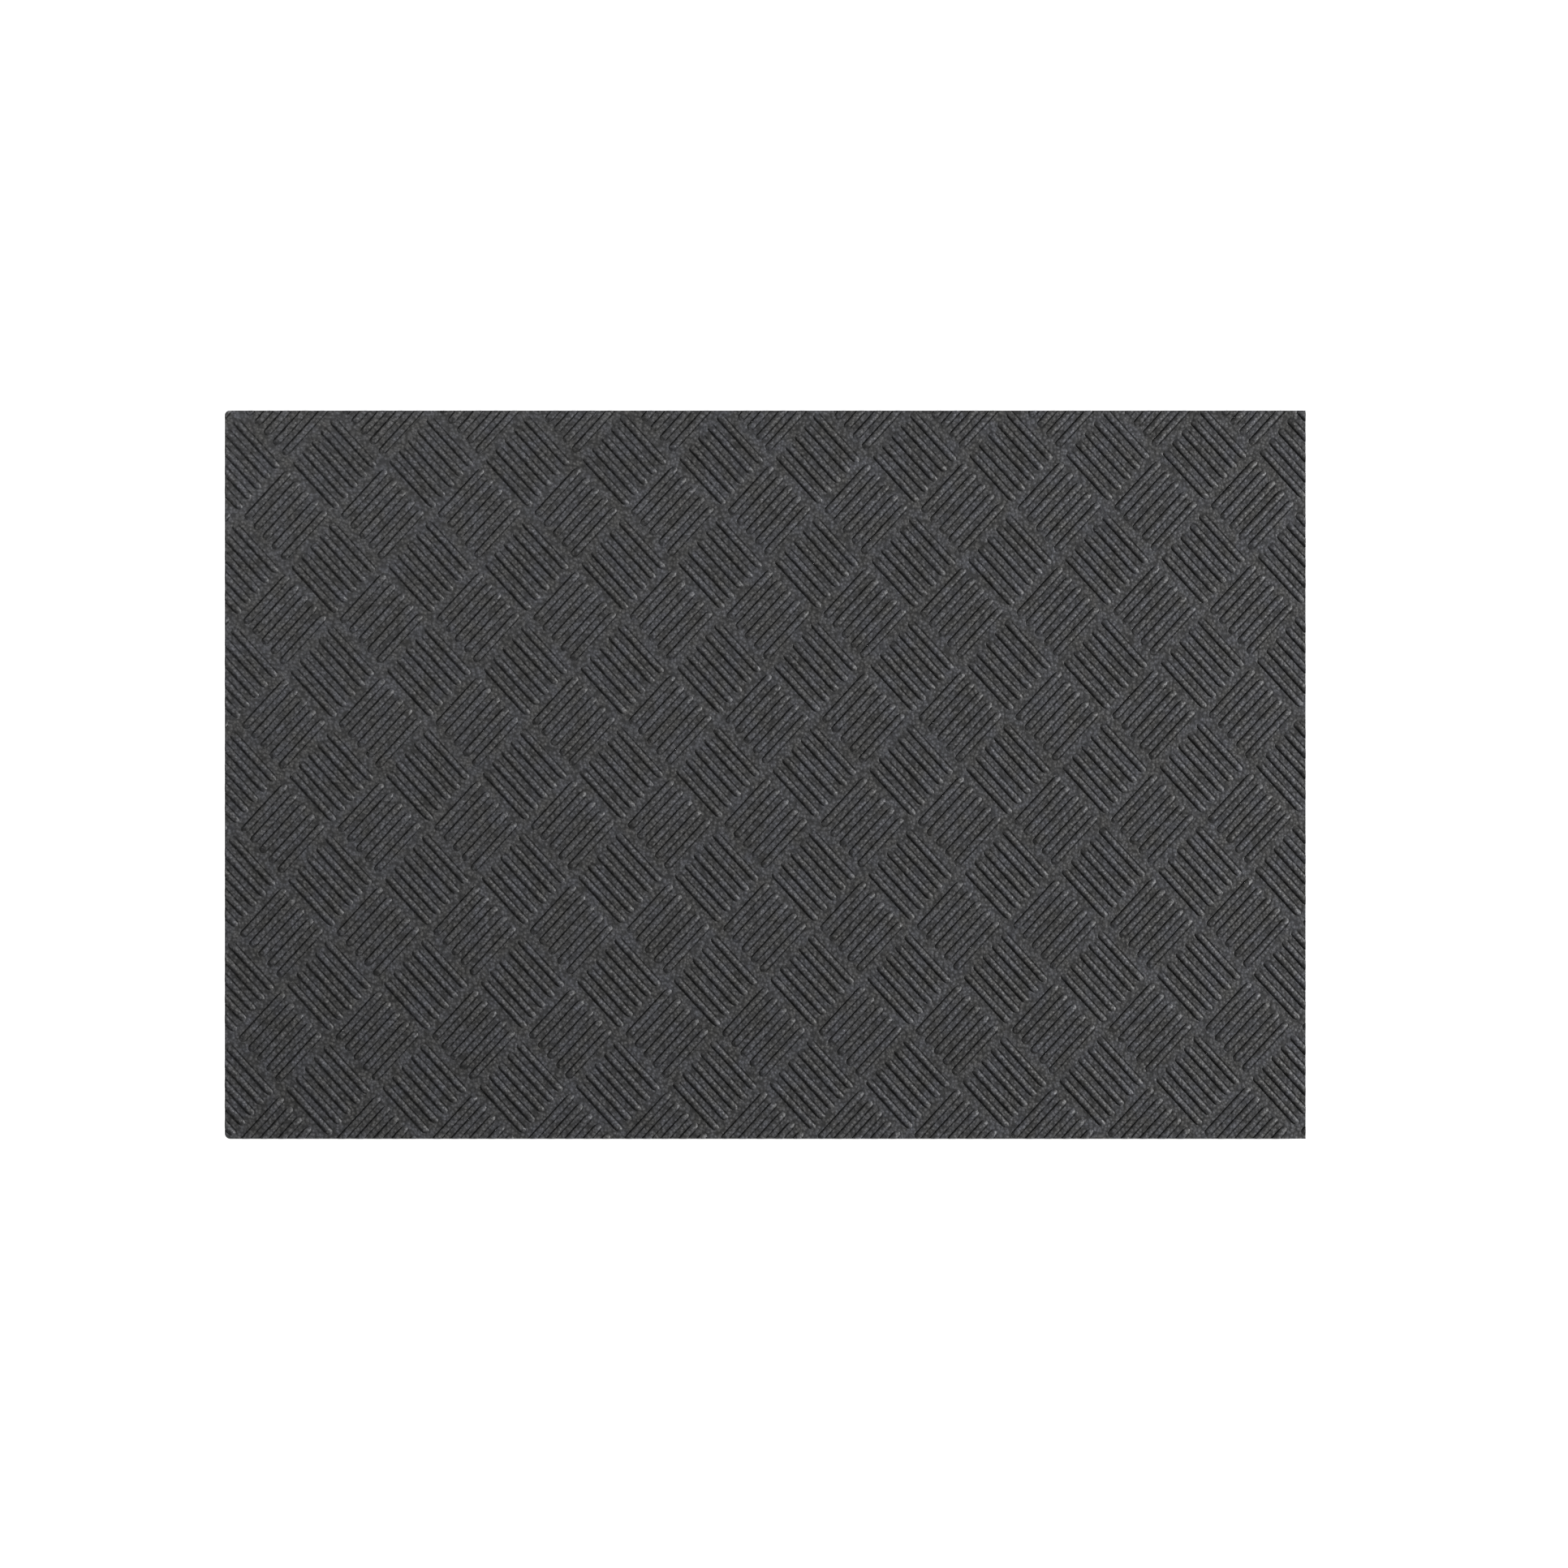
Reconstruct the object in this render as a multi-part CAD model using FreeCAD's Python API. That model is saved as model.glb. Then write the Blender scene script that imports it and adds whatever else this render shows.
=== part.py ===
import FreeCAD, Part
import math
import os

Vector = FreeCAD.Vector

# A laminated door mat with a five-bar tread face. Millimetres and degrees.
# The origin is on the floor under the middle of the mat: +X along its length,
# +Y along its width and +Z up. The layers are bonded face to face.

# The cut outline, which all the layers share
MAT_LENGTH = 600.0
MAT_WIDTH = 404.35
ROUNDED_CORNER_RADIUS = 3.0  # the two corners at -X; the two at +X are square

# The thickness of each layer, from the floor up
BACKING_THICKNESS = 1.2
LOWER_FILM_THICKNESS = 0.1
CORE_THICKNESS = 5.0
UPPER_FILM_THICKNESS = 0.1
SCRIM_THICKNESS = 0.3
TREAD_BASE_THICKNESS = 1.5

# A rib of the tread: round-topped, with round ends, measured at its foot
RIB_WIDTH = 3.6
RIB_HEIGHT = 1.1
RIBS_IN_BLOCK = 5

# The tread repeats along its rows and columns, which lie a little off the cut edges.
COLUMN_PITCH = 53.64
ROW_PITCH = 57.93
ROW_RISE = 0.61  # a row climbs this much towards +X
COLUMN_LEAN = 0.61  # a column leans this much towards +X as it climbs
FALLING_BLOCK_CENTRE = Vector(-26.24, 1.22, 0)  # the one nearest the middle of the mat
RISING_BLOCK_SHIFT = Vector(0.04, 0.4, 0)  # from the middle of the four falling blocks around it

# Each repeat holds one block of ribs that fall towards +X and one that rise.
# Slip is how far each rib is shifted along its own length from the one before.
# End gap is from the +X ends of the ribs to the side of the block beyond them.
FALLING_BLOCK = {"angle": -47.65, "rib_pitch": 7.61, "slip": -0.72, "end_gap": 4.08}
RISING_BLOCK = {"angle": 47.5, "rib_pitch": 7.45, "slip": 0.68, "end_gap": 5.19}

# Shallow round dimples in the underside, in staggered rows
DIMPLE_WIDTH = 8.0
DIMPLE_DEPTH = 0.5
DIMPLE_PITCH = 20.0
DIMPLE_EDGE_MARGIN = 6.0  # from a dimple's rim to the cut edge
CUT_OVERSHOOT = 0.1  # how far a cutting tool reaches past the face it cuts

# Heights of the faces where the layers meet
BACKING_TOP = BACKING_THICKNESS
LOWER_FILM_TOP = BACKING_TOP + LOWER_FILM_THICKNESS
CORE_TOP = LOWER_FILM_TOP + CORE_THICKNESS
UPPER_FILM_TOP = CORE_TOP + UPPER_FILM_THICKNESS
SCRIM_TOP = UPPER_FILM_TOP + SCRIM_THICKNESS
TREAD_BASE_TOP = SCRIM_TOP + TREAD_BASE_THICKNESS


def direction(angle):
    """The unit vector at an angle from +X, in the plane of the mat."""
    return Vector(math.cos(math.radians(angle)), math.sin(math.radians(angle)), 0)


COLUMN_STEP = direction(ROW_RISE) * COLUMN_PITCH
ROW_STEP = direction(90 - COLUMN_LEAN) * ROW_PITCH

# From a falling block to the rising ones at its lower right and its upper right
TO_LOWER_RISING_BLOCK = (COLUMN_STEP - ROW_STEP) * 0.5 + RISING_BLOCK_SHIFT
TO_UPPER_RISING_BLOCK = (COLUMN_STEP + ROW_STEP) * 0.5 + RISING_BLOCK_SHIFT


def cap_radius(width, height):
    """The radius of the circle whose cap has this width and height."""
    return (width**2 / 4 + height**2) / (2 * height)


def outline_wire(z):
    """The cut edge at height z: a rectangle with its two -X corners rounded."""
    x = MAT_LENGTH / 2
    y = MAT_WIDTH / 2
    r = ROUNDED_CORNER_RADIUS
    middle = r * (1 - math.sqrt(0.5))
    top_corner = Part.Arc(
        Vector(-x + r, y, z), Vector(-x + middle, y - middle, z), Vector(-x, y - r, z)
    )
    bottom_corner = Part.Arc(
        Vector(-x, -y + r, z), Vector(-x + middle, -y + middle, z), Vector(-x + r, -y, z)
    )
    edges = [
        Part.LineSegment(Vector(-x + r, -y, z), Vector(x, -y, z)),
        Part.LineSegment(Vector(x, -y, z), Vector(x, y, z)),
        Part.LineSegment(Vector(x, y, z), Vector(-x + r, y, z)),
        top_corner,
        Part.LineSegment(Vector(-x, y - r, z), Vector(-x, -y + r, z)),
        bottom_corner,
    ]
    return Part.Wire([edge.toShape() for edge in edges])


def layer(bottom, top):
    """A flat layer of the mat between two heights."""
    return Part.Face(outline_wire(bottom)).extrude(Vector(0, 0, top - bottom))


def rib(length):
    """One rib along +X, its foot at z = 0, with a root that sinks into the base."""
    radius = cap_radius(RIB_WIDTH, RIB_HEIGHT)
    half_axis = (length - RIB_WIDTH) / 2
    diagonal = radius * math.sqrt(0.5)
    tip = half_axis + radius
    far_end = Part.Arc(
        Vector(tip, 0, 0), Vector(half_axis + diagonal, diagonal, 0), Vector(half_axis, radius, 0)
    )
    near_end = Part.Arc(
        Vector(-half_axis, radius, 0), Vector(-half_axis - diagonal, diagonal, 0), Vector(-tip, 0, 0)
    )
    edges = [
        far_end,
        Part.LineSegment(Vector(half_axis, radius, 0), Vector(-half_axis, radius, 0)),
        near_end,
        Part.LineSegment(Vector(-tip, 0, 0), Vector(tip, 0, 0)),
    ]
    section = Part.Face(Part.Wire([edge.toShape() for edge in edges]))
    capsule = section.revolve(Vector(0, 0, 0), Vector(1, 0, 0), 360)
    capsule.translate(Vector(0, 0, RIB_HEIGHT - radius))
    root = TREAD_BASE_THICKNESS / 2
    above_root = Part.makeBox(
        2 * tip, 2 * radius, root + RIB_HEIGHT, Vector(-tip, -radius, -root)
    )
    return capsule.common(above_root).Solids[0].removeSplitter()


def rib_places(block):
    """The placements of one block's ribs about the block's own centre."""
    along = direction(block["angle"])
    across = direction(block["angle"] + 90)
    step = across * block["rib_pitch"] + along * block["slip"]
    turn = FreeCAD.Rotation(Vector(0, 0, 1), block["angle"])
    middle = (RIBS_IN_BLOCK - 1) / 2
    return [FreeCAD.Placement(step * (i - middle), turn) for i in range(RIBS_IN_BLOCK)]


def touches_outline(place, length):
    """Whether a rib at this placement lies at least partly on the mat."""
    along = place.Rotation.multVec(Vector(1, 0, 0)) * ((length - RIB_WIDTH) / 2)
    half_x = MAT_LENGTH / 2 + abs(along.x) + RIB_WIDTH / 2
    half_y = MAT_WIDTH / 2 + abs(along.y) + RIB_WIDTH / 2
    return abs(place.Base.x) < half_x and abs(place.Base.y) < half_y


def rib_length(block, other_block, to_other_block):
    """The length that leaves the block's end gap before the other block's side."""
    spacing = to_other_block.dot(direction(block["angle"]))
    other_half_width = (RIBS_IN_BLOCK - 1) / 2 * other_block["rib_pitch"] + RIB_WIDTH / 2
    return 2 * (spacing - other_half_width - block["end_gap"])


def ribs_on_mat(block, first_centre, length):
    """Every rib of one kind of block that lies at least partly on the mat."""
    columns = math.ceil(MAT_LENGTH / COLUMN_PITCH)
    rows = math.ceil(MAT_WIDTH / ROW_PITCH)
    one_rib = rib(length)
    ribs = []
    for column in range(-columns, columns + 1):
        for row in range(-rows, rows + 1):
            centre = first_centre + COLUMN_STEP * column + ROW_STEP * row
            centre.z = TREAD_BASE_TOP
            for place in rib_places(block):
                place.Base = place.Base + centre
                if touches_outline(place, length):
                    copy = one_rib.copy()
                    copy.Placement = place
                    ribs.append(copy)
    return ribs


def tread_sheet():
    """The wear layer: a plate and its ribs in one, with the tread cut off at the edges."""
    falling_length = rib_length(FALLING_BLOCK, RISING_BLOCK, TO_LOWER_RISING_BLOCK)
    rising_length = rib_length(RISING_BLOCK, FALLING_BLOCK, TO_UPPER_RISING_BLOCK)
    rising_centre = FALLING_BLOCK_CENTRE + TO_LOWER_RISING_BLOCK
    ribs = ribs_on_mat(FALLING_BLOCK, FALLING_BLOCK_CENTRE, falling_length)
    ribs += ribs_on_mat(RISING_BLOCK, rising_centre, rising_length)
    spare = max(falling_length, rising_length)
    uncut_length = MAT_LENGTH + 2 * spare
    uncut_width = MAT_WIDTH + 2 * spare
    corner = Vector(-uncut_length / 2, -uncut_width / 2, SCRIM_TOP)
    base = Part.makeBox(uncut_length, uncut_width, TREAD_BASE_THICKNESS, corner)
    cut_outline = layer(SCRIM_TOP, TREAD_BASE_TOP + RIB_HEIGHT + CUT_OVERSHOOT)
    return base.fuse(ribs).common(cut_outline).Solids[0]


def dimple_centres():
    """The dimples' centres, in staggered rows that leave the middle of the mat flat."""
    row_gap = DIMPLE_PITCH * math.sqrt(0.75)
    reach_x = MAT_LENGTH / 2 - DIMPLE_EDGE_MARGIN - DIMPLE_WIDTH / 2
    reach_y = MAT_WIDTH / 2 - DIMPLE_EDGE_MARGIN - DIMPLE_WIDTH / 2
    rows = math.ceil(MAT_WIDTH / row_gap)
    columns = math.ceil(MAT_LENGTH / DIMPLE_PITCH)
    centres = []
    for row in range(-rows, rows):
        y = (row + 0.5) * row_gap
        stagger = (row % 2) * DIMPLE_PITCH / 2
        for column in range(-columns, columns + 1):
            x = column * DIMPLE_PITCH + stagger
            if abs(x) <= reach_x and abs(y) <= reach_y:
                centres.append(Vector(x, y, 0))
    return centres


def dimple():
    """The tool that cuts one dimple at the origin: the cap of a ball."""
    radius = cap_radius(DIMPLE_WIDTH, DIMPLE_DEPTH)
    ball = Part.makeSphere(radius, Vector(0, 0, DIMPLE_DEPTH - radius))
    depth = DIMPLE_DEPTH + CUT_OVERSHOOT
    slab = Part.makeBox(2 * radius, 2 * radius, depth, Vector(-radius, -radius, -CUT_OVERSHOOT))
    return ball.common(slab).Solids[0]


def grip_backing():
    """The non-slip underside: a plate with shallow dimples that hold it to the floor."""
    one_dimple = dimple()
    dimples = []
    for centre in dimple_centres():
        copy = one_dimple.copy()
        copy.translate(centre)
        dimples.append(copy)
    return layer(0, BACKING_TOP).cut(dimples).Solids[0]


def pieces():
    """Every piece of the mat by name, from the floor up."""
    return {
        "grip_backing": grip_backing(),
        "lower_bond_film": layer(BACKING_TOP, LOWER_FILM_TOP),
        "foam_core": layer(LOWER_FILM_TOP, CORE_TOP),
        "upper_bond_film": layer(CORE_TOP, UPPER_FILM_TOP),
        "reinforcing_scrim": layer(UPPER_FILM_TOP, SCRIM_TOP),
        "tread_sheet": tread_sheet(),
    }


os.makedirs("parts", exist_ok=True)
for name, solid in pieces().items():
    solid.exportStep(f"parts/{name}.step")
    print(f"{name}: {len(solid.Faces)} faces, {solid.Volume / 1000:.1f} cm3, valid {solid.isValid()}")
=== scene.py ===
import math
import random

import bmesh
import bpy
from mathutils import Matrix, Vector, noise
from mathutils.geometry import delaunay_2d_cdt


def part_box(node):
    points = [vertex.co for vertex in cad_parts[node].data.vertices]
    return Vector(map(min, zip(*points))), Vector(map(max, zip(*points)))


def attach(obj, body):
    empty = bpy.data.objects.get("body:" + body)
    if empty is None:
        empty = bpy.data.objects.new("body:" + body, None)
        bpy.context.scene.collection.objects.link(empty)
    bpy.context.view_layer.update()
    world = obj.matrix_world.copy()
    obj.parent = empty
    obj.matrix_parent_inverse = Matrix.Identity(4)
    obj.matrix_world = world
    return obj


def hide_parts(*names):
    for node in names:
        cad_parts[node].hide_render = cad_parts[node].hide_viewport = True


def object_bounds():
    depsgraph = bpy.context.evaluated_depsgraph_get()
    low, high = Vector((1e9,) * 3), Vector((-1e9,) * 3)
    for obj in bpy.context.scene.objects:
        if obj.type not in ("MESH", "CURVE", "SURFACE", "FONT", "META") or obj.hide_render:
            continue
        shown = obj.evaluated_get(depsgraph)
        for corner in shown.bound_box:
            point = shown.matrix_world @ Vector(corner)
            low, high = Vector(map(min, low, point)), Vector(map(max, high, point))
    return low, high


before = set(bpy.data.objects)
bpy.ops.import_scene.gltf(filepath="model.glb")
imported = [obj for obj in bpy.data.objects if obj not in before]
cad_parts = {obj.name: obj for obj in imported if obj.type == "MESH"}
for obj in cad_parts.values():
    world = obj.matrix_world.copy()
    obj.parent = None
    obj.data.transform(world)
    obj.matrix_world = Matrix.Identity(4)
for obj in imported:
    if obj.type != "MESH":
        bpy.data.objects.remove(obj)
cad_low, cad_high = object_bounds()

MM = 0.001
SEED = 7

# The cut outline, which all the layers share
ROUNDED_CORNER_RADIUS = 3 * MM
CORNER_STEPS = 6
HALF_LENGTH = cad_high.x
HALF_WIDTH = cad_high.y

# The tread, as the design sets it: blocks of five ribs in a slightly leaning repeat
RIB_WIDTH = 3.6 * MM
RIB_HEIGHT = 1.1 * MM
RIBS_IN_BLOCK = 5
COLUMN_PITCH = 53.64 * MM
ROW_PITCH = 57.93 * MM
ROW_RISE = 0.61
COLUMN_LEAN = 0.61
FALLING_BLOCK_CENTRE = Vector((-26.24, 1.22)) * MM
RISING_BLOCK_SHIFT = Vector((0.04, 0.4)) * MM
FALLING_BLOCK = {"angle": -47.65, "rib_pitch": 7.61 * MM, "slip": -0.72 * MM, "end_gap": 4.08 * MM}
RISING_BLOCK = {"angle": 47.5, "rib_pitch": 7.45 * MM, "slip": 0.68 * MM, "end_gap": 5.19 * MM}

# The moulded detail round each rib, which the plain design leaves out, and the reach of its painted shade
CREASE_WIDTH = 0.6 * MM
CREASE_DEPTH = 0.32 * MM
CREASE_SHARE_AT_TIP = 0.15  # how much of the crease's depth and of its painted shade is left at a rib's tips
PAINTED_SHADE_WIDTH = 1.1 * MM  # how far from a rib's foot its painted shade reaches
TIP_RAMP = 2 * MM  # how much sooner the ridge ends than the foot
END_STRIP = 2.5 * MM  # the short first part of a rib's straight side, next to its rounded end
RIB_HEIGHT_SPREAD = 0.05
RIB_SIDE_STEPS = 3
RIB_END_STEPS = 6
TREAD_EDGE_ROUNDING = 0.3 * MM
SHARP_ANGLE = 24  # degrees between two faces, beyond which a rib's edge stays sharp
LOWEST_SHARP_EDGE = 0.01 * MM  # above the ground: the edges on it and in the creases are smooth

# The painted shade of the tread, from 1 (darkest) to -1 (lightest, a painted highlight): on the three
# rings round a rib's foot, on the rings above it, each at its turn from the foot, and on the ridge.
# The creases and flanks get painted shade, the top ring and the ridge a painted highlight
FOOT_SHADES = [0, 0.55, 1]
FLANK_SHADES = [(24, 0.9), (46, 0.5), (68, -0.2)]
RIDGE_SHADE = -0.6

# The underside's dimples, as the design sets them
DIMPLE_WIDTH = 8 * MM
DIMPLE_DEPTH = 0.5 * MM
DIMPLE_PITCH = 20 * MM
DIMPLE_EDGE_MARGIN = 6 * MM
DIMPLE_POINTS = 20
DIMPLE_RINGS = 4

# The yarns of the laid mesh inside, and how much a hand-led cut wanders
YARN_WIDTH = 1.6 * MM
YARN_PITCH = 5 * MM
YARN_SWAY = 0.2 * MM
YARN_SWAY_TURNS = 9  # in radians over the whole yarn
YARN_STEPS = 20
CUT_WANDER = 0.12 * MM
CUT_WANDER_LENGTH = 9 * MM
CUT_WANDER_HEIGHT = 4 * MM
OUTLINE_SPACING = 4 * MM

# Tolerances of the mesh work
WELD_DISTANCE = 0.002 * MM
CUT_TOLERANCE = 1e-8
EDGE_TOLERANCE = 1e-6
TREAD_GROUND_TOLERANCE = 1e-7
BACKING_GROUND_TOLERANCE = 1e-8
DELAUNAY_INSIDE = 1  # the mode that keeps only the triangles inside the given edges
INSIDE_SHARE = 0.98  # of the painted shade's width: the ground's thin triangles beside it are kept

# The cut edge of each kind of layer: (share of its height, how far in) from the floor up
STRAIGHT_CUT = [(0, 0), (1, 0)]
SPRUNG_CUT = [(0, 0), (0.2, 0.15 * MM), (0.5, 0.3 * MM), (0.8, 0.15 * MM), (1, 0)]

# The grain of the tread's vinyl, and the strength of its painted shade and painted highlight
PEBBLE_SIZE = 1.7 * MM
PEBBLE_HEIGHT = 0.2 * MM
GRAIN_SIZE = 1.4 * MM
GRAIN_HEIGHT = 0.24 * MM
MOTTLE_SIZE = 11 * MM
PAINTED_RIDGE_HIGHLIGHT = 1.28  # the painted highlight's brightness at a shade of -1
PAINTED_CREASE_SHADE = 0.68  # the painted shade's brightness at a shade of 1

# The grain of the other pieces: how wide it is and how high
CUT_GRAIN_SIZE = 0.5 * MM
CUT_GRAIN_HEIGHT = 0.05 * MM
FILAMENT_SIZE = 0.25 * MM
FILAMENT_HEIGHT = 0.06 * MM
FILAMENT_SQUEEZE = 0.02  # the pattern's pace along a filament, against that across it
YARN_SOILING_SIZE = 25 * MM
FILM_CLOUD_SIZE = 14 * MM
FILM_PEEL_SIZE = 1.2 * MM
FILM_PEEL_HEIGHT = 0.03 * MM
FOAM_CELL_SIZE = 0.4 * MM
LARGE_FOAM_CELL_SIZE = 0.8 * MM
FOAM_CELL_HEIGHT = 0.15 * MM
PRESS_SIZE = 0.6 * MM
PRESS_HEIGHT = 0.08 * MM
WEAR_SIZE = 30 * MM
SPECKLE_SIZE = 50 * MM
SPECKLE_HEIGHT = 0.01 * MM

# Colours
TREAD_WARM = (0.0542, 0.0532, 0.0518)
TREAD_COOL = (0.0518, 0.053, 0.0592)
TREAD_CUT = (0.022, 0.022, 0.023)
GLASS_YARN = (0.72, 0.71, 0.66)
BOND_FILM = (0.62, 0.6, 0.54)
CORE_FOAM = (0.045, 0.045, 0.047)
GRIP_RUBBER = (0.03, 0.03, 0.031)
PALE_FLOOR = (0.88, 0.88, 0.88)
WHITE = (1, 1, 1, 1)

# The studio: a key light low on the right, a small one at the upper left, and the camera
WORLD_LIGHT = 0.18
FLOOR_GLOW = 0.95
FLOOR_REACH = 6
KEY_AZIMUTH = 4
KEY_ELEVATION = 29
KEY_DISTANCE = 3.6
KEY_SIZE = 0.62
KEY_POWER = 195
GLINT_PLACE = (-0.75, 0.55, 0.75)
GLINT_TARGET = (-0.2, 0.1, 0)
GLINT_SIZE = 0.15
GLINT_POWER = 3.5
LENS = 135
CAMERA_X = 10.4 * MM
CAMERA_Y = -5.2 * MM
VIEW_WIDTH = 869.9 * MM
VIEW_DEPTH = 20


# ---------------------------------------------------------------- outline


def in_plane(angle):
    """The unit vector at an angle from +X, in the plane of the mat."""
    return Vector((math.cos(math.radians(angle)), math.sin(math.radians(angle))))


def outline(inset=0.0):
    """The cut edge, anticlockwise from the lower left: two rounded corners at -X, two square at +X."""
    x = HALF_LENGTH - inset
    y = HALF_WIDTH - inset
    radius = ROUNDED_CORNER_RADIUS - inset
    lower = []
    for i in range(CORNER_STEPS + 1):
        turn = math.pi / 2 * i / CORNER_STEPS
        across = -x + radius - radius * math.cos(turn)
        lower.append(Vector((across, -y + radius - radius * math.sin(turn))))
    upper = [Vector((point.x, -point.y)) for point in reversed(lower)]
    return lower + [Vector((x, -y)), Vector((x, y))] + upper


def spaced(corners, spacing):
    """A closed outline with points added along its long sides."""
    points = []
    for start, end in zip(corners, corners[1:] + corners[:1]):
        steps = max(1, round((end - start).length / spacing))
        points += [start.lerp(end, i / steps) for i in range(steps)]
    return points


def inward(points):
    """The inward direction at each point of an anticlockwise outline."""
    directions = []
    for i, point in enumerate(points):
        along = (points[(i + 1) % len(points)] - points[i - 1]).normalized()
        directions.append(Vector((-along.y, along.x)))
    return directions


# ---------------------------------------------------------------- meshes


def new_piece(name, points, faces, materials):
    """A mesh object in the shared frame."""
    mesh = bpy.data.meshes.new(name)
    mesh.from_pydata(points, [], faces)
    for material in materials:
        mesh.materials.append(material)
    piece = bpy.data.objects.new(name, mesh)
    bpy.context.scene.collection.objects.link(piece)
    return piece


def band(first, second, count):
    """The quads between two rings of points, each given by its first index."""
    quads = []
    for i in range(count):
        j = (i + 1) % count
        quads.append((first + i, first + j, second + j, second + i))
    return quads


def cut_layer(name, node, sides, materials):
    """A layer with a slightly uneven cut edge. sides gives (height share, inset) from the floor up."""
    low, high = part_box(node)
    ring = spaced(outline(), OUTLINE_SPACING)
    ways = inward(ring)
    count = len(ring)
    points = []
    for share, inset in sides:
        z = low.z + (high.z - low.z) * share
        for point, way in zip(ring, ways):
            x = point.x / CUT_WANDER_LENGTH
            y = point.y / CUT_WANDER_LENGTH
            wander = CUT_WANDER * (0.5 + 0.5 * noise.noise(Vector((x, y, z / CUT_WANDER_HEIGHT))))
            flat = point + way * (inset + wander)
            points.append((flat.x, flat.y, z))
    faces = [tuple(reversed(range(count)))]
    for level in range(len(sides) - 1):
        faces += band(level * count, (level + 1) * count, count)
    top = (len(sides) - 1) * count
    faces.append(tuple(range(top, top + count)))
    piece = new_piece(name, points, faces, materials)
    for face in piece.data.polygons[1:-1]:
        face.use_smooth = True
    return piece


# ---------------------------------------------------------------- tread


def stadium(half_axis, radius, height, ramp=0.0):
    """Points round a rib at one height, anticlockwise from its lower right, in the rib's frame.

    A negative height is a crease's, and is shallower round the tips. Ramp moves both rounded
    ends in, by less than the end strip, so that the rings above one another never fold over.
    """
    points = []
    for side in (1, -1):
        for i in range(RIB_END_STEPS + 1):
            turn = math.pi * (i / RIB_END_STEPS - 0.5)
            x = half_axis - ramp + radius * math.cos(turn)
            z = height * faded(turn) if height < 0 else height
            points.append(Vector((side * x, side * radius * math.sin(turn), z)))
        for x in straight_part(half_axis)[1:-1]:
            points.append(Vector((side * x, side * radius, height)))
    return points


def straight_part(half_axis):
    """Where the points lie along a rib's straight sides, with an end strip at both ends."""
    inner = half_axis - END_STRIP
    return [half_axis, inner, -inner, -half_axis]


def faded(turn):
    """The share of a crease that is left at a turn from the rib's tip: all of it along the sides."""
    return 1 - (1 - CREASE_SHARE_AT_TIP) * math.cos(turn)


def ring_shares():
    """How much of the painted shade reaches each point of one ring."""
    end = [faded(math.pi * (i / RIB_END_STEPS - 0.5)) for i in range(RIB_END_STEPS + 1)]
    return (end + [1.0] * (RIB_SIDE_STEPS - 1)) * 2


def rib_mesh(length):
    """One rib's points, faces, ring size and painted shades. The first ring lies on the ground round it.
    """
    half_axis = (length - RIB_WIDTH) / 2
    foot = RIB_WIDTH / 2
    rings = [
        stadium(half_axis, foot + PAINTED_SHADE_WIDTH, 0),
        stadium(half_axis, foot + CREASE_WIDTH, 0),
        stadium(half_axis, foot, -CREASE_DEPTH),
    ]
    ring_shades = list(FOOT_SHADES)
    for turn, shade in FLANK_SHADES:
        lift = math.sin(math.radians(turn))
        radius = foot * math.cos(math.radians(turn))
        rings.append(stadium(half_axis, radius, RIB_HEIGHT * lift, TIP_RAMP * lift))
        ring_shades.append(shade)
    count = len(rings[0])
    shades = [shade * share for shade in ring_shades for share in ring_shares()]
    half = count // 2
    points = [point for ring in rings for point in ring]
    faces = []
    for level in range(len(rings) - 1):
        faces += band(level * count, (level + 1) * count, count)
    # The ridge is a line of points, with a fan of triangles at each end and quads along it.
    ridge = len(points)
    ridge_end = half_axis - TIP_RAMP
    for x in straight_part(half_axis):
        points.append(Vector((max(-ridge_end, min(ridge_end, x)), 0, RIB_HEIGHT)))
    # The ridge's shade is a painted highlight.
    shades += [RIDGE_SHADE] * (RIB_SIDE_STEPS + 1)
    last = ridge - count
    far = ridge + RIB_SIDE_STEPS
    for i in range(RIB_END_STEPS):
        faces.append((last + i, last + i + 1, ridge))
        faces.append((last + half + i, last + half + i + 1, far))
    for i in range(RIB_SIDE_STEPS):
        left = last + RIB_END_STEPS + i
        faces.append((left, left + 1, ridge + i + 1, ridge + i))
        right = last + half + RIB_END_STEPS + i
        following = last + (right - last + 1) % count
        faces.append((right, following, far - i - 1, far - i))
    return points, faces, count, shades


def on_rib(place, axes, along, half_axis):
    """Whether a place in the plane is within the shaded width of any of a block's ribs."""
    for axis in axes:
        local = place - axis
        x = max(-half_axis, min(half_axis, local.dot(along)))
        if (local - along * x).length < RIB_WIDTH / 2 + PAINTED_SHADE_WIDTH * INSIDE_SHARE:
            return True
    return False


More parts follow.
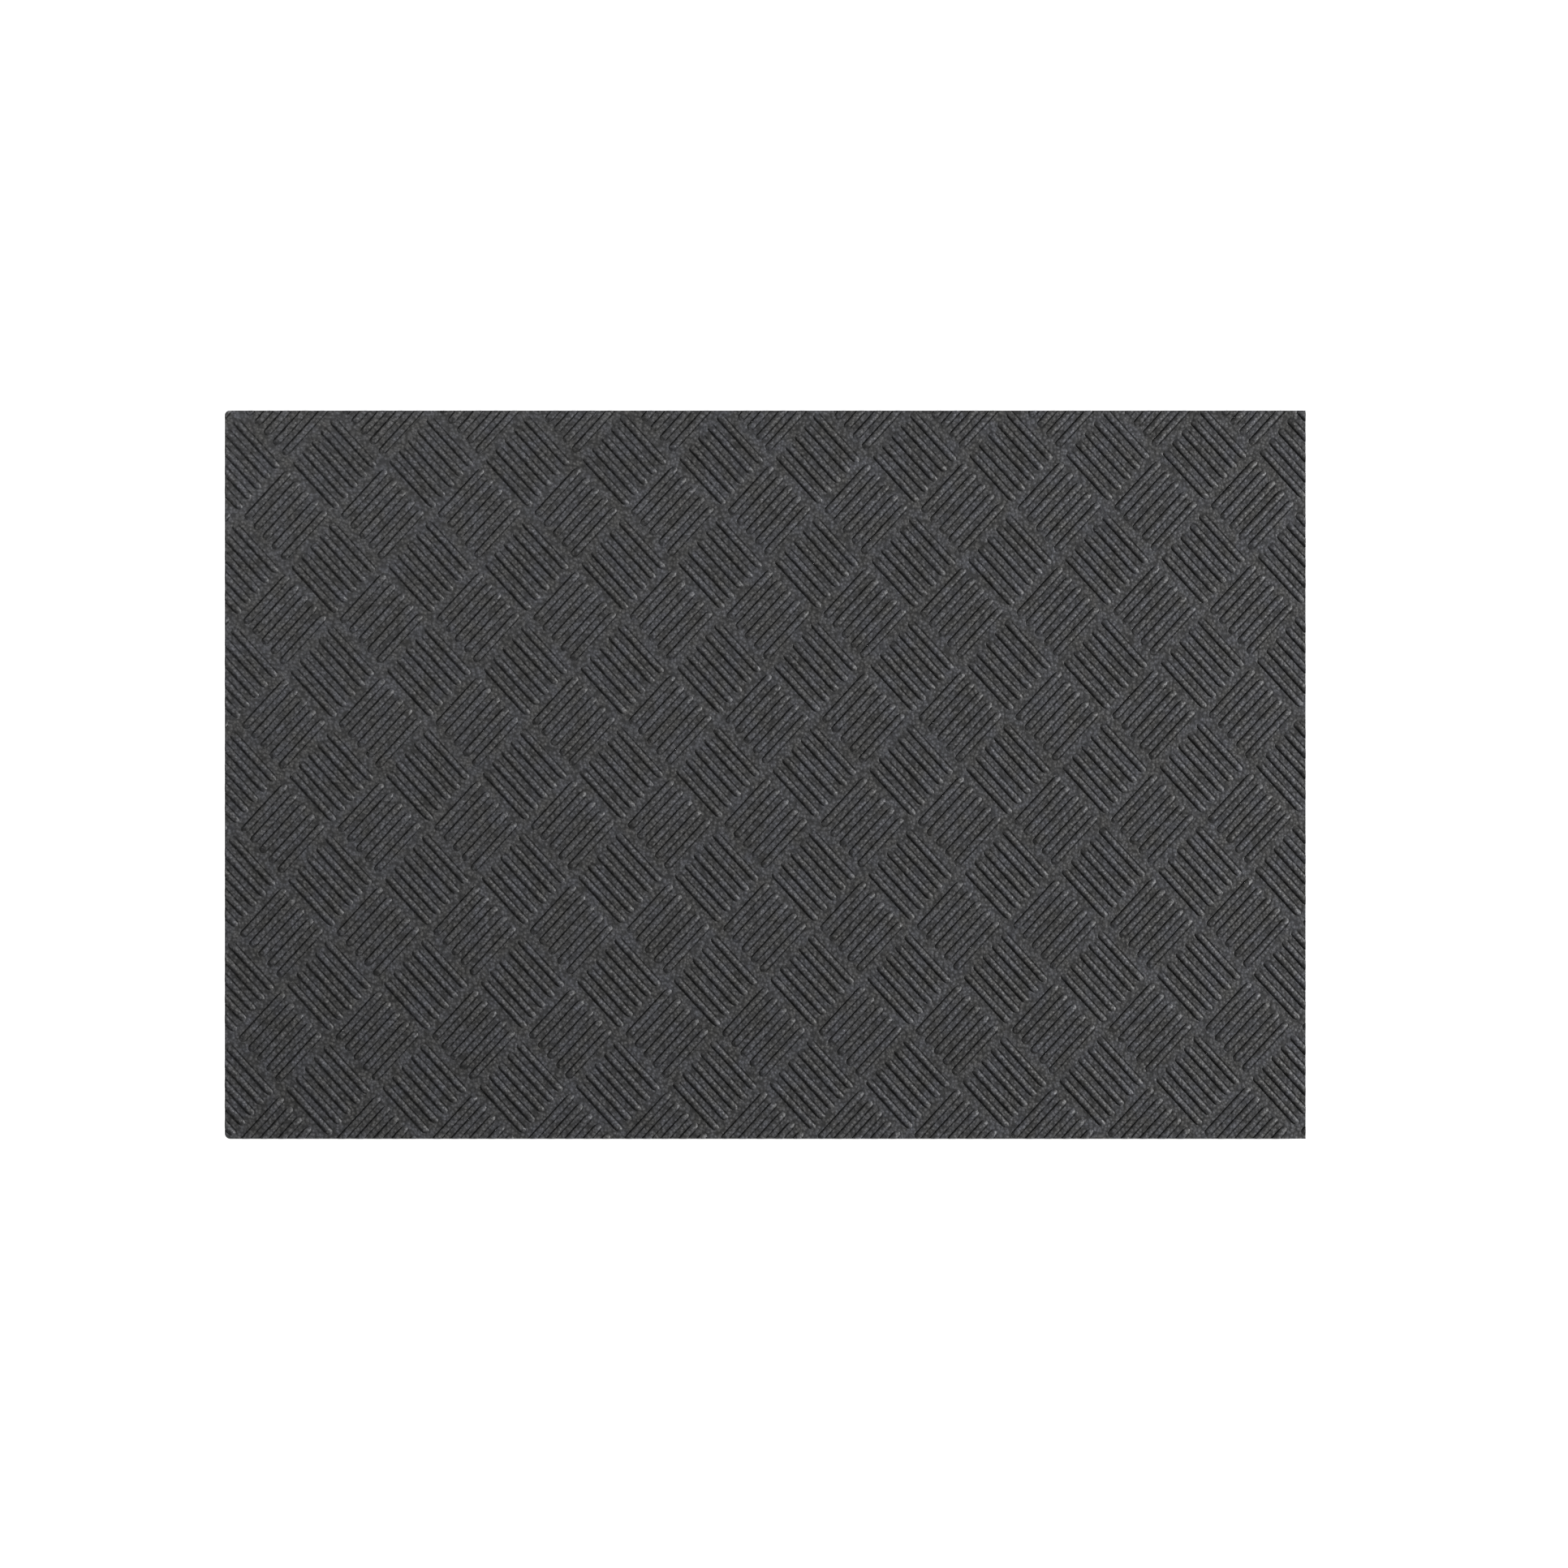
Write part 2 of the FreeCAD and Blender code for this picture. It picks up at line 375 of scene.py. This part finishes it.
def tread_tile(block, length, corners):
    """One block's part of the tread about its centre: points, faces, and each point's rib and painted
    shade.

    The ground between the ribs is filled in out to the corners, where the next tiles join on.
    """
    along = in_plane(block["angle"])
    across = in_plane(block["angle"] + 90)
    step = across * block["rib_pitch"] + along * block["slip"]
    axes = [step * (rib - (RIBS_IN_BLOCK - 1) / 2) for rib in range(RIBS_IN_BLOCK)]
    rib_points, rib_faces, count, rib_shades = rib_mesh(length)
    points, faces, rib_of_point, shades = [], [], [], []
    ground = list(corners)
    ground_edges = [(i, (i + 1) % len(corners)) for i in range(len(corners))]
    for rib, axis in enumerate(axes):
        start = len(points)
        for point in rib_points:
            flat = axis + along * point.x + across * point.y
            points.append(Vector((flat.x, flat.y, point.z)))
            rib_of_point.append(rib)
        shades += rib_shades
        faces += [tuple(start + i for i in face) for face in rib_faces]
        first = len(ground)
        ground += [Vector((point.x, point.y)) for point in points[start:start + count]]
        ground_edges += [(first + i, first + (i + 1) % count) for i in range(count)]
    flat_points, _, triangles, _, _, _ = delaunay_2d_cdt(
        ground, ground_edges, [], DELAUNAY_INSIDE, TREAD_GROUND_TOLERANCE
    )
    start = len(points)
    points += [Vector((point.x, point.y, 0)) for point in flat_points]
    rib_of_point += [None] * len(flat_points)
    shades += [0] * len(flat_points)
    for triangle in triangles:
        middle = sum((flat_points[i] for i in triangle), Vector((0, 0))) / 3
        if not on_rib(middle, axes, along, (length - RIB_WIDTH) / 2):
            faces.append(tuple(start + i for i in triangle))
    return points, faces, rib_of_point, shades


def half_width(block):
    """From the middle of a block to the side of its outermost rib."""
    return (RIBS_IN_BLOCK - 1) / 2 * block["rib_pitch"] + RIB_WIDTH / 2


def rib_length(block, other_block, to_other_block):
    """The length that leaves the block's end gap before the other block's side."""
    spacing = to_other_block.dot(in_plane(block["angle"]))
    return 2 * (spacing - half_width(other_block) - block["end_gap"])


def tread_tiles():
    """The first centre and the tile of each kind of block, with the two steps of the repeat."""
    column = in_plane(ROW_RISE) * COLUMN_PITCH
    row = in_plane(90 - COLUMN_LEAN) * ROW_PITCH
    to_lower = (column - row) / 2 + RISING_BLOCK_SHIFT
    to_upper = (column + row) / 2 + RISING_BLOCK_SHIFT
    # Where four blocks meet, beside a falling block and above it
    beside = (column + to_lower + to_upper) / 4
    above = (row + to_upper + (to_upper - column)) / 4
    falling_corners = [beside, above, beside - column, above - row]
    rising_corners = [
        above + column - row - to_lower,
        beside - to_lower,
        above - row - to_lower,
        beside - row - to_lower,
    ]
    falling_length = rib_length(FALLING_BLOCK, RISING_BLOCK, to_lower)
    rising_length = rib_length(RISING_BLOCK, FALLING_BLOCK, to_upper)
    tiles = [
        (FALLING_BLOCK_CENTRE, tread_tile(FALLING_BLOCK, falling_length, falling_corners)),
        (FALLING_BLOCK_CENTRE + to_lower, tread_tile(RISING_BLOCK, rising_length, rising_corners)),
    ]
    return tiles, column, row


def tread_surface():
    """The whole uncut tread as points, faces and painted shades, each rib a little different in height.
    """
    tiles, column, row = tread_tiles()
    draw = random.Random(SEED)
    points, faces, shades = [], [], []
    columns = math.ceil(2 * HALF_LENGTH / COLUMN_PITCH)
    rows = math.ceil(2 * HALF_WIDTH / ROW_PITCH)
    for first_centre, (tile_points, tile_faces, rib_of_point, tile_shades) in tiles:
        for i in range(-columns, columns + 1):
            for j in range(-rows, rows + 1):
                centre = first_centre + column * i + row * j
                beyond_end = abs(centre.x) > HALF_LENGTH + COLUMN_PITCH
                if beyond_end or abs(centre.y) > HALF_WIDTH + ROW_PITCH:
                    continue
                heights = [1 - draw.random() * RIB_HEIGHT_SPREAD for _ in range(RIBS_IN_BLOCK)]
                start = len(points)
                for point, rib in zip(tile_points, rib_of_point):
                    scale = 1 if rib is None or point.z < 0 else heights[rib]
                    points.append((point.x + centre.x, point.y + centre.y, point.z * scale))
                faces += [tuple(start + k for k in face) for face in tile_faces]
                shades += tile_shades
    return points, faces, shades


def cut_to_outline(bm, corners):
    """Cuts a mesh off outside a convex anticlockwise outline."""
    for start, end in zip(corners, corners[1:] + corners[:1]):
        along = (end - start).normalized()
        bmesh.ops.bisect_plane(
            bm,
            geom=bm.verts[:] + bm.edges[:] + bm.faces[:],
            dist=CUT_TOLERANCE,
            plane_co=(start.x, start.y, 0),
            plane_no=(along.y, -along.x, 0),
            clear_outer=True,
        )


def pushed_to_outline(point, inset):
    """The place on the cut edge beyond a point of its inset copy."""
    centre_x = -HALF_LENGTH + ROUNDED_CORNER_RADIUS
    centre_y = math.copysign(HALF_WIDTH - ROUNDED_CORNER_RADIUS, point.y)
    if point.x < centre_x and abs(point.y) > abs(centre_y):
        away = Vector((point.x - centre_x, point.y - centre_y))
        away *= (away.length + inset) / away.length
        return centre_x + away.x, centre_y + away.y
    x, y = point.x, point.y
    if abs(x) > HALF_LENGTH - inset - EDGE_TOLERANCE:
        x = math.copysign(HALF_LENGTH, x)
    if abs(y) > HALF_WIDTH - inset - EDGE_TOLERANCE:
        y = math.copysign(HALF_WIDTH, y)
    return x, y


def smooth_tread(bm, ground):
    """Shades the tread smooth. Only a rib's own edges can be sharp, where its faces turn enough."""
    for face in bm.faces:
        face.smooth = True
    for edge in bm.edges:
        if edge.is_manifold and edge.calc_face_angle(0) > math.radians(SHARP_ANGLE):
            edge.smooth = max(vert.co.z for vert in edge.verts) > ground + LOWEST_SHARP_EDGE


def extruded_rim(bm):
    """Extrudes the open rim, which becomes a sharp edge, and returns the new points and faces."""
    rim = [edge for edge in bm.edges if edge.is_boundary]
    for edge in rim:
        edge.smooth = False
    made = bmesh.ops.extrude_edge_only(bm, edges=rim)["geom"]
    ring = [item for item in made if isinstance(item, bmesh.types.BMVert)]
    walls = [item for item in made if isinstance(item, bmesh.types.BMFace)]
    return ring, walls


def tread_sheet(materials):
    """The wear layer: the moulded tread, cut to the outline, with its cut walls and flat back."""
    low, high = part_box("tread_sheet")
    ground = high.z - RIB_HEIGHT
    points, faces, shades = tread_surface()
    piece = new_piece("tread_top", points, faces, materials)
    # The crease attribute carries the painted shade of the creases and flanks and the painted highlight
    # of the ridges
    piece.data.attributes.new("crease", "FLOAT", "POINT").data.foreach_set("value", shades)
    bm = bmesh.new()
    bm.from_mesh(piece.data)
    bmesh.ops.remove_doubles(bm, verts=bm.verts, dist=WELD_DISTANCE)
    cut_to_outline(bm, outline(TREAD_EDGE_ROUNDING))
    for vert in bm.verts:
        vert.co.z += ground
    smooth_tread(bm, ground)
    ring, _ = extruded_rim(bm)
    for vert in ring:
        x, y = pushed_to_outline(vert.co, TREAD_EDGE_ROUNDING)
        vert.co = Vector((x, y, vert.co.z - TREAD_EDGE_ROUNDING))
    ring, walls = extruded_rim(bm)
    for vert in ring:
        vert.co.z = low.z
    rim = [edge for edge in bm.edges if edge.is_boundary]
    back = bmesh.ops.contextual_create(bm, geom=rim)["faces"]
    for face in walls + back:
        face.material_index = 1
        face.smooth = False
    bmesh.ops.recalc_face_normals(bm, faces=bm.faces)
    bm.to_mesh(piece.data)
    bm.free()
    return piece


# ---------------------------------------------------------------- backing


def dimple_centres():
    """The dimples' centres, in staggered rows that leave the middle of the mat flat."""
    row_gap = DIMPLE_PITCH * math.sqrt(0.75)
    reach_x = HALF_LENGTH - DIMPLE_EDGE_MARGIN - DIMPLE_WIDTH / 2
    reach_y = HALF_WIDTH - DIMPLE_EDGE_MARGIN - DIMPLE_WIDTH / 2
    rows = math.ceil(2 * HALF_WIDTH / row_gap)
    columns = math.ceil(2 * HALF_LENGTH / DIMPLE_PITCH)
    centres = []
    for row in range(-rows, rows):
        y = (row + 0.5) * row_gap
        stagger = (row % 2) * DIMPLE_PITCH / 2
        for column in range(-columns, columns + 1):
            x = column * DIMPLE_PITCH + stagger
            if abs(x) <= reach_x and abs(y) <= reach_y:
                centres.append(Vector((x, y)))
    return centres


def dimple_faces(points, rim):
    """Adds one dimple inside a rim of points and returns its faces, which face down."""
    middle = sum((Vector(points[i]) for i in rim), Vector((0, 0, 0))) / len(rim)
    faces = []
    outer = rim
    for level in range(1, DIMPLE_RINGS):
        share = 1 - level / DIMPLE_RINGS
        inner = list(range(len(points), len(points) + len(rim)))
        for i in rim:
            place = middle + (Vector(points[i]) - middle) * share
            points.append((place.x, place.y, DIMPLE_DEPTH * (1 - share**2)))
        for i in range(len(rim)):
            j = (i + 1) % len(rim)
            faces.append((outer[j], outer[i], inner[i], inner[j]))
        outer = inner
    top = len(points)
    points.append((middle.x, middle.y, DIMPLE_DEPTH))
    for i in range(len(rim)):
        faces.append((outer[(i + 1) % len(rim)], outer[i], top))
    return faces


def grip_backing(materials):
    """The non-slip underside: a thin plate with smooth shallow dimples."""
    low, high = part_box("grip_backing")
    edge = spaced(outline(CUT_WANDER), OUTLINE_SPACING)
    count = len(edge)
    centres = dimple_centres()
    flat = list(edge)
    links = [(i, (i + 1) % count) for i in range(count)]
    for centre in centres:
        first = len(flat)
        for i in range(DIMPLE_POINTS):
            flat.append(centre + in_plane(360 * i / DIMPLE_POINTS) * DIMPLE_WIDTH / 2)
            links.append((first + i, first + (i + 1) % DIMPLE_POINTS))
    _, _, triangles, _, _, _ = delaunay_2d_cdt(flat, links, [], DELAUNAY_INSIDE, BACKING_GROUND_TOLERANCE)
    points = [(point.x, point.y, low.z) for point in flat]
    faces = []
    for a, b, c in triangles:
        # A triangle with all its points on one dimple's rim lies inside that rim and is left out.
        rims = {(i - count) // DIMPLE_POINTS if i >= count else None for i in (a, b, c)}
        if len(rims) > 1 or None in rims:
            faces.append((c, b, a))
    first_dimple_face = len(faces)
    for number in range(len(centres)):
        first = count + number * DIMPLE_POINTS
        faces += dimple_faces(points, list(range(first, first + DIMPLE_POINTS)))
    end_of_dimple_faces = len(faces)
    top = len(points)
    points += [(point.x, point.y, high.z) for point in edge]
    faces += band(0, top, count)
    faces.append(tuple(range(top, top + count)))
    piece = new_piece("backing_rubber", points, faces, materials)
    for face in piece.data.polygons[first_dimple_face:end_of_dimple_faces]:
        face.use_smooth = True
    return piece


# ---------------------------------------------------------------- scrim


def corner_inset(reach, half_span):
    """How far the outline's rounding cuts in at a given distance from the mat's middle line."""
    into = abs(reach) - (half_span - ROUNDED_CORNER_RADIUS)
    if into <= 0:
        return 0.0
    return ROUNDED_CORNER_RADIUS - math.sqrt(max(0, ROUNDED_CORNER_RADIUS**2 - into**2))


def yarn_section(height):
    """The flat lens of a yarn: sideways and upward offsets, anticlockwise."""
    half = YARN_WIDTH / 2
    upper = [(half, 0), (half * 0.5, height / 2), (-half * 0.5, height / 2)]
    lower = [(-half, 0), (-half * 0.5, -height / 2), (half * 0.5, -height / 2)]
    return upper + lower


def add_yarn(points, faces, place, start, end, crosswise, z, height, phase):
    """Adds one flat yarn between two ends, with a slight sway that dies out at the cut."""
    section = yarn_section(height)
    count = len(section)
    first = len(points)
    for i in range(YARN_STEPS + 1):
        share = i / YARN_STEPS
        run = start + (end - start) * share
        sway = YARN_SWAY * math.sin(phase + YARN_SWAY_TURNS * share) * math.sin(math.pi * share)
        for side, up in section:
            across = place + side + sway
            points.append((across, run, z + up) if crosswise else (run, across, z + up))
    for i in range(YARN_STEPS):
        faces += band(first + i * count, first + (i + 1) * count, count)
    last = first + YARN_STEPS * count
    faces.append(tuple(reversed(range(first, first + count))))
    faces.append(tuple(range(last, last + count)))


def reinforcing_scrim(materials):
    """A laid mesh of flat glass yarns, the crosswise ones on top. Returns it and its flat area."""
    low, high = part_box("reinforcing_scrim")
    height = (high.z - low.z) / 2
    draw = random.Random(SEED + 1)
    points, faces = [], []
    area = 0.0
    crossings = 1
    for crosswise, span, run, z in (
        (False, HALF_WIDTH, HALF_LENGTH, low.z + height / 2),
        (True, HALF_LENGTH, HALF_WIDTH, high.z - height / 2),
    ):
        first_face = len(faces)
        number = int((2 * span - YARN_PITCH) / YARN_PITCH)
        for i in range(number + 1):
            place = (i - number / 2) * YARN_PITCH
            inset = corner_inset(abs(place) + YARN_WIDTH / 2 + YARN_SWAY, span)
            phase = draw.uniform(0, 2 * math.pi)
            add_yarn(points, faces, place, -run + inset, run - inset, crosswise, z, height, phase)
            area += YARN_WIDTH * 2 * (run - inset)
        crossings *= number + 1
    piece = new_piece("scrim_yarns", points, faces, materials)
    for face in piece.data.polygons:
        # The crosswise yarns came last.
        face.material_index = 1 if face.index >= first_face else 0
        face.use_smooth = len(face.vertices) == 4
    bm = bmesh.new()
    bm.from_mesh(piece.data)
    bmesh.ops.recalc_face_normals(bm, faces=bm.faces)
    bm.to_mesh(piece.data)
    bm.free()
    return piece, area - crossings * YARN_WIDTH**2


# ---------------------------------------------------------------- materials


class Nodes:
    """A small helper that adds and links the nodes of one material."""

    def __init__(self, name):
        self.material = bpy.data.materials.new(name)
        self.material.use_nodes = True
        self.tree = self.material.node_tree
        self.shader = self.tree.nodes["Principled BSDF"]
        self.position = self.add("ShaderNodeTexCoord").outputs["Object"]

    def add(self, kind, **settings):
        node = self.tree.nodes.new(kind)
        for key, value in settings.items():
            setattr(node, key, value)
        return node

    def link(self, output, target):
        self.tree.links.new(output, target)

    def stretched(self, along):
        """The position, drawn out so that a pattern runs in streaks along x or y."""
        node = self.add("ShaderNodeVectorMath", operation="MULTIPLY")
        self.link(self.position, node.inputs[0])
        node.inputs[1].default_value = along
        return node.outputs["Vector"]

    def noise(self, size, detail=2.0, roughness=0.5, position=None):
        """Cloudy noise whose features are about this size."""
        node = self.add("ShaderNodeTexNoise")
        self.link(position or self.position, node.inputs["Vector"])
        node.inputs["Scale"].default_value = 1 / size
        node.inputs["Detail"].default_value = detail
        node.inputs["Roughness"].default_value = roughness
        return node.outputs["Fac"]

    def cells(self, size, smoothness=0.4):
        """The distance from the middles of rounded cells of about this size."""
        node = self.add("ShaderNodeTexVoronoi", feature="SMOOTH_F1")
        self.link(self.position, node.inputs["Vector"])
        node.inputs["Scale"].default_value = 1 / size
        node.inputs["Smoothness"].default_value = smoothness
        return node.outputs["Distance"]

    def ranged(self, value, low, high, new_low, new_high):
        """A value carried from one range to another, and kept within it."""
        node = self.add("ShaderNodeMapRange")
        self.link(value, node.inputs["Value"])
        for socket, number in zip(node.inputs[1:5], (low, high, new_low, new_high)):
            socket.default_value = number
        return node.outputs["Result"]

    def math(self, operation, first, second):
        node = self.add("ShaderNodeMath", operation=operation)
        for socket, value in zip(node.inputs, (first, second)):
            if isinstance(value, (int, float)):
                socket.default_value = value
            else:
                self.link(value, socket)
        return node.outputs["Value"]

    def blend(self, first, second, share):
        """A colour that runs from one to another over the surface."""
        node = self.add("ShaderNodeMix", data_type="RGBA")
        self.link(share, node.inputs["Factor"])
        node.inputs["A"].default_value = (*first, 1)
        node.inputs["B"].default_value = (*second, 1)
        return node.outputs["Result"]

    def tint(self, colour, brightness):
        """A colour, fixed or varying, times a brightness that varies over the surface."""
        node = self.add("ShaderNodeMix", data_type="RGBA", blend_type="MULTIPLY")
        node.inputs["Factor"].default_value = 1
        if isinstance(colour, tuple):
            node.inputs["A"].default_value = (*colour, 1)
        else:
            self.link(colour, node.inputs["A"])
        self.link(brightness, node.inputs["B"])
        return node.outputs["Result"]

    def bump(self, height, distance, below=None):
        """The normal of a surface raised by up to a distance, on top of another bump if there is one."""
        node = self.add("ShaderNodeBump")
        node.inputs["Strength"].default_value = 1
        node.inputs["Distance"].default_value = distance
        self.link(height, node.inputs["Height"])
        if below is not None:
            self.link(below, node.inputs["Normal"])
        return node.outputs["Normal"]

    def finish(self, colour, roughness, normal):
        self.link(colour, self.shader.inputs["Base Color"])
        self.link(roughness, self.shader.inputs["Roughness"])
        self.link(normal, self.shader.inputs["Normal"])
        return self.material


def tread_material():
    """Satin charcoal vinyl with a pebble grain, in which the odd bead has a painted glint; painted shade
    in its creases and a painted highlight on its ridges.
    """
    nodes = Nodes("tread_vinyl")
    pebbles = nodes.ranged(nodes.cells(PEBBLE_SIZE), 0, 0.8, 1, 0)
    grain = nodes.noise(GRAIN_SIZE, 3, 0.65)
    mottle = nodes.noise(MOTTLE_SIZE, 3)
    beads = nodes.math("MULTIPLY", pebbles, nodes.ranged(grain, 0.35, 0.65, 0.4, 1.8))
    # The grain's own tone, with the odd bead lifted far above it as a painted glint
    grain_tone_and_painted_glints = nodes.ranged(beads, 0.1, 1.2, 0.36, 1.85)
    brightness = nodes.math("ADD", grain_tone_and_painted_glints, nodes.ranged(mottle, 0.3, 0.7, -0.12, 0.12))
    # Painted shade in the creases and on the flanks, and a painted highlight on the ridges, from the
    # crease attribute
    crease = nodes.add("ShaderNodeAttribute", attribute_name="crease").outputs["Fac"]
    shade = nodes.ranged(crease, -1, 1, PAINTED_RIDGE_HIGHLIGHT, PAINTED_CREASE_SHADE)
    brightness = nodes.math("MULTIPLY", brightness, shade)
    cast = nodes.blend(TREAD_WARM, TREAD_COOL, nodes.ranged(mottle, 0.35, 0.65, 0, 1))
    colour = nodes.tint(cast, brightness)
    roughness = nodes.ranged(grain, 0.3, 0.7, 0.64, 0.42)
    normal = nodes.bump(pebbles, PEBBLE_HEIGHT)
    normal = nodes.bump(grain, GRAIN_HEIGHT, normal)
    return nodes.finish(colour, roughness, normal)


def cut_vinyl_material():
    """The freshly cut edge of the tread sheet: duller and darker than its face."""
    nodes = Nodes("tread_cut")
    grain = nodes.noise(CUT_GRAIN_SIZE, 3)
    colour = nodes.tint(TREAD_CUT, nodes.ranged(grain, 0.3, 0.7, 0.8, 1.2))
    roughness = nodes.ranged(grain, 0.3, 0.7, 0.6, 0.8)
    return nodes.finish(colour, roughness, nodes.bump(grain, CUT_GRAIN_HEIGHT))


def yarn_material(name, streaks):
    """Off-white glass yarn, with fine filaments along it."""
    nodes = Nodes(name)
    filaments = nodes.noise(FILAMENT_SIZE, 2, 0.6, nodes.stretched(streaks))
    soiling = nodes.noise(YARN_SOILING_SIZE, 2)
    brightness = nodes.math(
        "MULTIPLY", nodes.ranged(filaments, 0.3, 0.7, 0.7, 1.05), nodes.ranged(soiling, 0.3, 0.7, 0.86, 1)
    )
    colour = nodes.tint(GLASS_YARN, brightness)
    roughness = nodes.ranged(filaments, 0.3, 0.7, 0.7, 0.5)
    return nodes.finish(colour, roughness, nodes.bump(filaments, FILAMENT_HEIGHT))


def film_material():
    """Hot-melt film: cloudy, with a faint orange-peel surface from the press."""
    nodes = Nodes("bond_film")
    clouds = nodes.noise(FILM_CLOUD_SIZE, 4)
    peel = nodes.noise(FILM_PEEL_SIZE, 2)
    colour = nodes.tint(BOND_FILM, nodes.ranged(clouds, 0.3, 0.7, 0.78, 1.08))
    roughness = nodes.ranged(clouds, 0.3, 0.7, 0.35, 0.5)
    return nodes.finish(colour, roughness, nodes.bump(peel, FILM_PEEL_HEIGHT))


def foam_material():
    """Dark closed-cell foam, with its cut cells open on the edge and painted darker towards their
    middles, as painted shade in the hollows.
    """
    nodes = Nodes("core_foam")
    # Each cut cell is painted darker towards its middle: painted shade in its hollow
    cells = nodes.ranged(nodes.cells(FOAM_CELL_SIZE, 0.2), 0.05, 0.6, 0.7, 1)
    large_cells = nodes.ranged(nodes.cells(LARGE_FOAM_CELL_SIZE, 0.2), 0, 0.4, 0.8, 1)
    cell_hollows_with_painted_shade = nodes.math("MULTIPLY", cells, large_cells)
    colour = nodes.tint(CORE_FOAM, cell_hollows_with_painted_shade)
    roughness = nodes.ranged(cell_hollows_with_painted_shade, 0.5, 1, 0.95, 0.8)
    return nodes.finish(colour, roughness, nodes.bump(cell_hollows_with_painted_shade, FOAM_CELL_HEIGHT))


def grip_material():
    """Soft non-slip rubber with a fine cloth-like press texture."""
    nodes = Nodes("grip_rubber")
    press = nodes.noise(PRESS_SIZE, 2, 0.6)
    wear = nodes.noise(WEAR_SIZE, 4)
    brightness = nodes.math(
        "MULTIPLY", nodes.ranged(press, 0.3, 0.7, 0.8, 1.1), nodes.ranged(wear, 0.3, 0.7, 0.85, 1.15)
    )
    colour = nodes.tint(GRIP_RUBBER, brightness)
    roughness = nodes.ranged(wear, 0.3, 0.7, 0.7, 0.88)
    return nodes.finish(colour, roughness, nodes.bump(press, PRESS_HEIGHT))


# ---------------------------------------------------------------- stage


def floor():
    """A plain pale floor with a faint speckle, bright enough to stay white round the mat."""
    far = FLOOR_REACH
    corners = [(-far, -far, 0), (far, -far, 0), (far, far, 0), (-far, far, 0)]
    nodes = Nodes("pale_floor")
    speckle = nodes.noise(SPECKLE_SIZE, 2)
    colour = nodes.tint(PALE_FLOOR, nodes.ranged(speckle, 0, 1, 0.98, 1.0))
    roughness = nodes.ranged(speckle, 0, 1, 0.8, 0.85)
    nodes.shader.inputs["Emission Color"].default_value = WHITE
    nodes.shader.inputs["Emission Strength"].default_value = FLOOR_GLOW
    material = nodes.finish(colour, roughness, nodes.bump(speckle, SPECKLE_HEIGHT))
    piece = new_piece("floor", corners, [(0, 1, 2, 3)], [material])


def area_light(name, place, target, size, power):
    """A round soft light that shines from a place towards a target."""
    light = bpy.data.lights.new(name, "AREA")
    light.shape = "DISK"
    light.size = size
    light.energy = power
    lamp = bpy.data.objects.new(name, light)
    lamp.location = place
    lamp.rotation_euler = (Vector(target) - Vector(place)).to_track_quat("-Z", "Y").to_euler()
    bpy.context.scene.collection.objects.link(lamp)


def around(azimuth, elevation, distance):
    """A place at a distance from the mat's middle. Azimuth turns from +X towards +Y."""
    flat = in_plane(azimuth) * distance * math.cos(math.radians(elevation))
    return flat.x, flat.y, distance * math.sin(math.radians(elevation))


def lights():
    """The even light of the room, the key light and the small one opposite."""
    world = bpy.data.worlds.new("studio")
    world.use_nodes = True
    background = world.node_tree.nodes["Background"]
    background.inputs["Color"].default_value = WHITE
    background.inputs["Strength"].default_value = WORLD_LIGHT
    bpy.context.scene.world = world
    key_place = around(KEY_AZIMUTH, KEY_ELEVATION, KEY_DISTANCE)
    area_light("key_right", key_place, (0, 0, 0), KEY_SIZE, KEY_POWER)
    area_light("glint_left", GLINT_PLACE, GLINT_TARGET, GLINT_SIZE, GLINT_POWER)


def camera():
    """Straight above, at the distance from which the view is VIEW_WIDTH across at the tread."""
    data = bpy.data.cameras.new("camera")
    data.lens = LENS
    data.clip_end = VIEW_DEPTH
    eye = bpy.data.objects.new("camera", data)
    distance = VIEW_WIDTH / data.sensor_width * data.lens
    eye.location = (CAMERA_X, CAMERA_Y, cad_high.z + distance)
    bpy.context.scene.collection.objects.link(eye)
    bpy.context.scene.camera = eye


# ---------------------------------------------------------------- the mat


def stand_for(piece, node):
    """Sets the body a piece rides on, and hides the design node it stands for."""
    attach(piece, "root")
    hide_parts(node)


bpy.context.scene.view_settings.view_transform = "Standard"

backing = grip_backing([grip_material()])
stand_for(backing, "grip_backing")

film = film_material()
lower_film = cut_layer("lower_film", "lower_bond_film", STRAIGHT_CUT, [film])
stand_for(lower_film, "lower_bond_film")

core = cut_layer("core_cushion", "foam_core", SPRUNG_CUT, [foam_material()])
stand_for(core, "foam_core")

upper_film = cut_layer("upper_film", "upper_bond_film", STRAIGHT_CUT, [film])
stand_for(upper_film, "upper_bond_film")

lengthwise = yarn_material("yarn_lengthwise", (FILAMENT_SQUEEZE, 1, 1))
crosswise = yarn_material("yarn_crosswise", (1, FILAMENT_SQUEEZE, 1))
scrim, scrim_area = reinforcing_scrim([lengthwise, crosswise])
stand_for(scrim, "reinforcing_scrim")

tread = tread_sheet([tread_material(), cut_vinyl_material()])
stand_for(tread, "tread_sheet")

floor()
lights()
camera()
